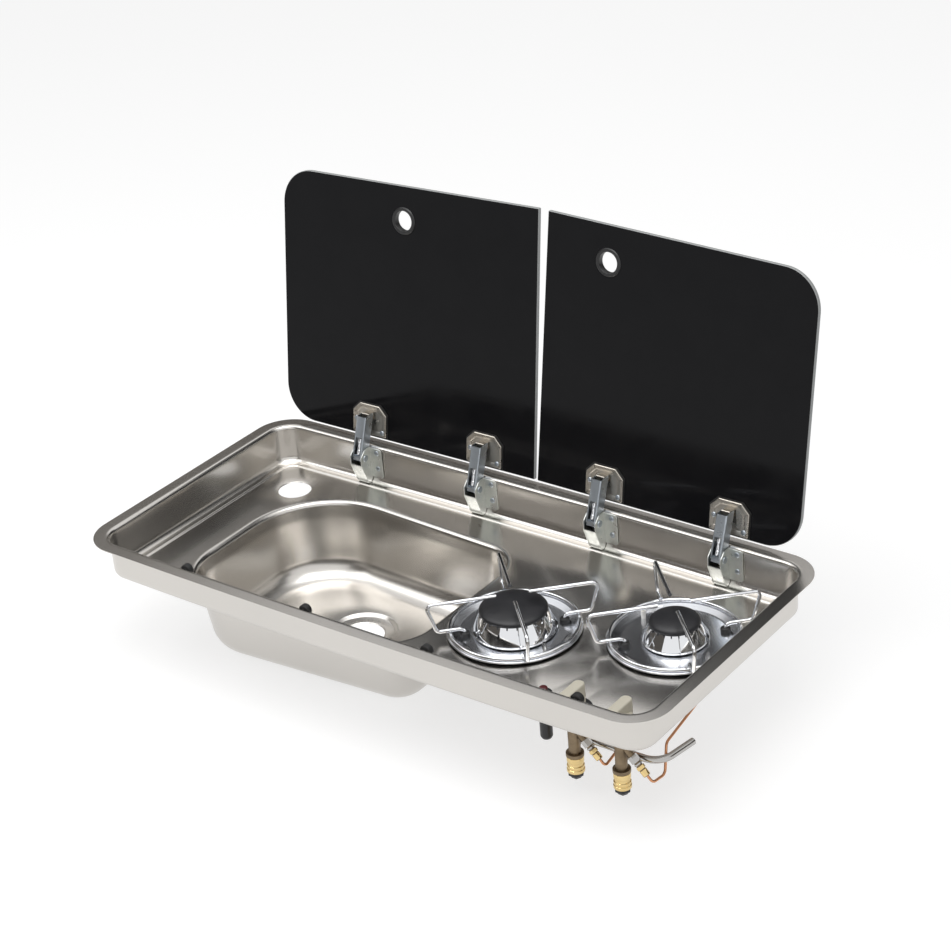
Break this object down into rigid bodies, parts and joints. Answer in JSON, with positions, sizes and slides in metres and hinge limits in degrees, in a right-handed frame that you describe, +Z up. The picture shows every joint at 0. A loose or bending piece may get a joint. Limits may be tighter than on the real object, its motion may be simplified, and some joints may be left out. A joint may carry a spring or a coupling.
{
  "type": "hob and sink combination",
  "caption": "Camper hob and sink unit: pressed steel tray with a sink bowl and gas burners, lever taps and an igniter, under black glass lids on overlay hinges that close over the rim.",
  "frame": {"origin": "middle of the rim plane, level with the worktop's upper face", "axes": "+X along the tray to the burners, +Y across to the lid hinges, +Z up"},
  "size_m": [0.775, 0.4243, 0.4745],
  "materials": {
    "stainless": "satin pressed stainless steel",
    "lid_glass": "black toughened glass, opaque",
    "black_plastic": "black moulded plastic",
    "hinge_pad": "black bonding pad",
    "hinge_plate": "nickel-plated steel",
    "zinc": "zinc-plated steel",
    "bright_steel": "bright zinc-plated steel",
    "chrome": "bright chrome",
    "burner_black": "black enamel",
    "burner_cup": "cast aluminium",
    "rubber": "black rubber",
    "knob_beige": "beige moulded plastic",
    "button_red": "red moulded plastic",
    "brass": "turned brass",
    "tap_bronze": "dark cast brass",
    "steel_pipe": "drawn steel tube",
    "copper": "copper lead",
    "ceramic": "white glazed ceramic",
    "lead_sheath": "grey silicone sheath"
  },
  "bodies": {
    "base": {"tray": "stainless", "sink_bowl": "stainless", "hinge_housings": "bright_steel", "hinge_rivets": "zinc", "lid_bumpers": "rubber", "igniter_body": "black_plastic", "igniter_nut": "black_plastic", "gas_inlet_pipe": "steel_pipe", "thermocouple_leads": "copper", "spark_leads": "lead_sheath", "hinge_pins_left": "zinc", "hinge_pins_right": "zinc", "burner_pan_left": "chrome", "burner_pan_right": "chrome", "pan_grommets_left": "rubber", "pan_grommets_right": "rubber", "burner_cup_left": "burner_cup", "burner_cup_right": "burner_cup", "burner_skirt_left": "chrome", "burner_skirt_right": "chrome", "burner_jet_left": "brass", "burner_jet_right": "brass", "knob_bezel_left": "black_plastic", "knob_bezel_right": "black_plastic", "gas_valve_left": "tap_bronze", "gas_valve_right": "tap_bronze", "valve_nut_left": "brass", "valve_nut_right": "brass", "valve_cap_left": "black_plastic", "valve_cap_right": "black_plastic", "feed_pipe_left": "steel_pipe", "feed_pipe_right": "steel_pipe", "spark_electrode_left": "ceramic", "spark_electrode_right": "ceramic", "thermocouple_left": "copper", "thermocouple_right": "copper"},
    "lid_left": {"lid_glass_left": "lid_glass", "lid_ring_left": "black_plastic", "hinge_pads_left": "hinge_pad", "hinge_plates_left": "hinge_plate", "hinge_screws_left": "hinge_plate"},
    "hinge_arms_left": {"hinge_arms_left": "zinc", "hinge_barrels_left": "chrome"},
    "stem_left": {"valve_stem_left": "brass"},
    "knob_left": {"knob_left": "knob_beige"},
    "support_left": {"pan_support_left": "chrome"},
    "cap_left": {"burner_cap_left": "burner_black"},
    "lid_right": {"lid_glass_right": "lid_glass", "lid_ring_right": "black_plastic", "hinge_pads_right": "hinge_pad", "hinge_plates_right": "hinge_plate", "hinge_screws_right": "hinge_plate"},
    "hinge_arms_right": {"hinge_arms_right": "zinc", "hinge_barrels_right": "chrome"},
    "stem_right": {"valve_stem_right": "brass"},
    "knob_right": {"knob_right": "knob_beige"},
    "support_right": {"pan_support_right": "chrome"},
    "cap_right": {"burner_cap_right": "burner_black"},
    "button": {"igniter_button": "button_red"}
  },
  "joints": [
    {"name": "lid_left_close", "type": "hinge", "parent": "base", "child": "lid_left", "pos_m": [-0.19355, 0.16828, -0.0069], "axis": [0.9999, 0.0116, 0], "range_deg": [0, 99]},
    {"name": "hinge_arms_left_fold", "type": "hinge", "parent": "base", "child": "hinge_arms_left", "pos_m": [-0.1934, 0.15538, -0.012], "axis": [0.9999, 0.0116, 0], "range_deg": [0, 110]},
    {"name": "tap_left_push", "type": "slide", "parent": "base", "child": "stem_left", "axis": [0, 0, -1], "range_m": [0, 0.004], "stiffness_N_per_m": 500, "springref_m": -0.004},
    {"name": "knob_left_turn", "type": "hinge", "parent": "stem_left", "child": "knob_left", "pos_m": [0.256, -0.123, -0.035], "axis": [0, 0, 1], "range_deg": [0, 180]},
    {"name": "support_left_lift", "type": "slide", "parent": "base", "child": "support_left", "axis": [0, 0, -1], "range_m": [-0.04, 0]},
    {"name": "cap_left_lift", "type": "slide", "parent": "base", "child": "cap_left", "axis": [0, 0, -1], "range_m": [-0.005, 0]},
    {"name": "lid_right_close", "type": "hinge", "parent": "base", "child": "lid_right", "pos_m": [0.19355, 0.16828, -0.0069], "axis": [0.9999, -0.0116, 0], "range_deg": [0, 99]},
    {"name": "hinge_arms_right_fold", "type": "hinge", "parent": "base", "child": "hinge_arms_right", "pos_m": [0.1934, 0.15538, -0.012], "axis": [0.9999, -0.0116, 0], "range_deg": [0, 110]},
    {"name": "tap_right_push", "type": "slide", "parent": "base", "child": "stem_right", "axis": [0, 0, -1], "range_m": [0, 0.004], "stiffness_N_per_m": 500, "springref_m": -0.004},
    {"name": "knob_right_turn", "type": "hinge", "parent": "stem_right", "child": "knob_right", "pos_m": [0.314, -0.123, -0.035], "axis": [0, 0, 1], "range_deg": [0, 180]},
    {"name": "support_right_lift", "type": "slide", "parent": "base", "child": "support_right", "axis": [0, 0, -1], "range_m": [-0.04, 0]},
    {"name": "cap_right_lift", "type": "slide", "parent": "base", "child": "cap_right", "axis": [0, 0, -1], "range_m": [-0.009, 0]},
    {"name": "button_push", "type": "slide", "parent": "base", "child": "button", "axis": [0, 0, -1], "range_m": [0, 0.004], "stiffness_N_per_m": 300, "springref_m": -0.002}
  ],
  "couplings": [
    {"joint": "hinge_arms_left_fold", "follows": "lid_left_close", "ratio": 1.1091},
    {"joint": "hinge_arms_right_fold", "follows": "lid_right_close", "ratio": 1.1091}
  ]
}
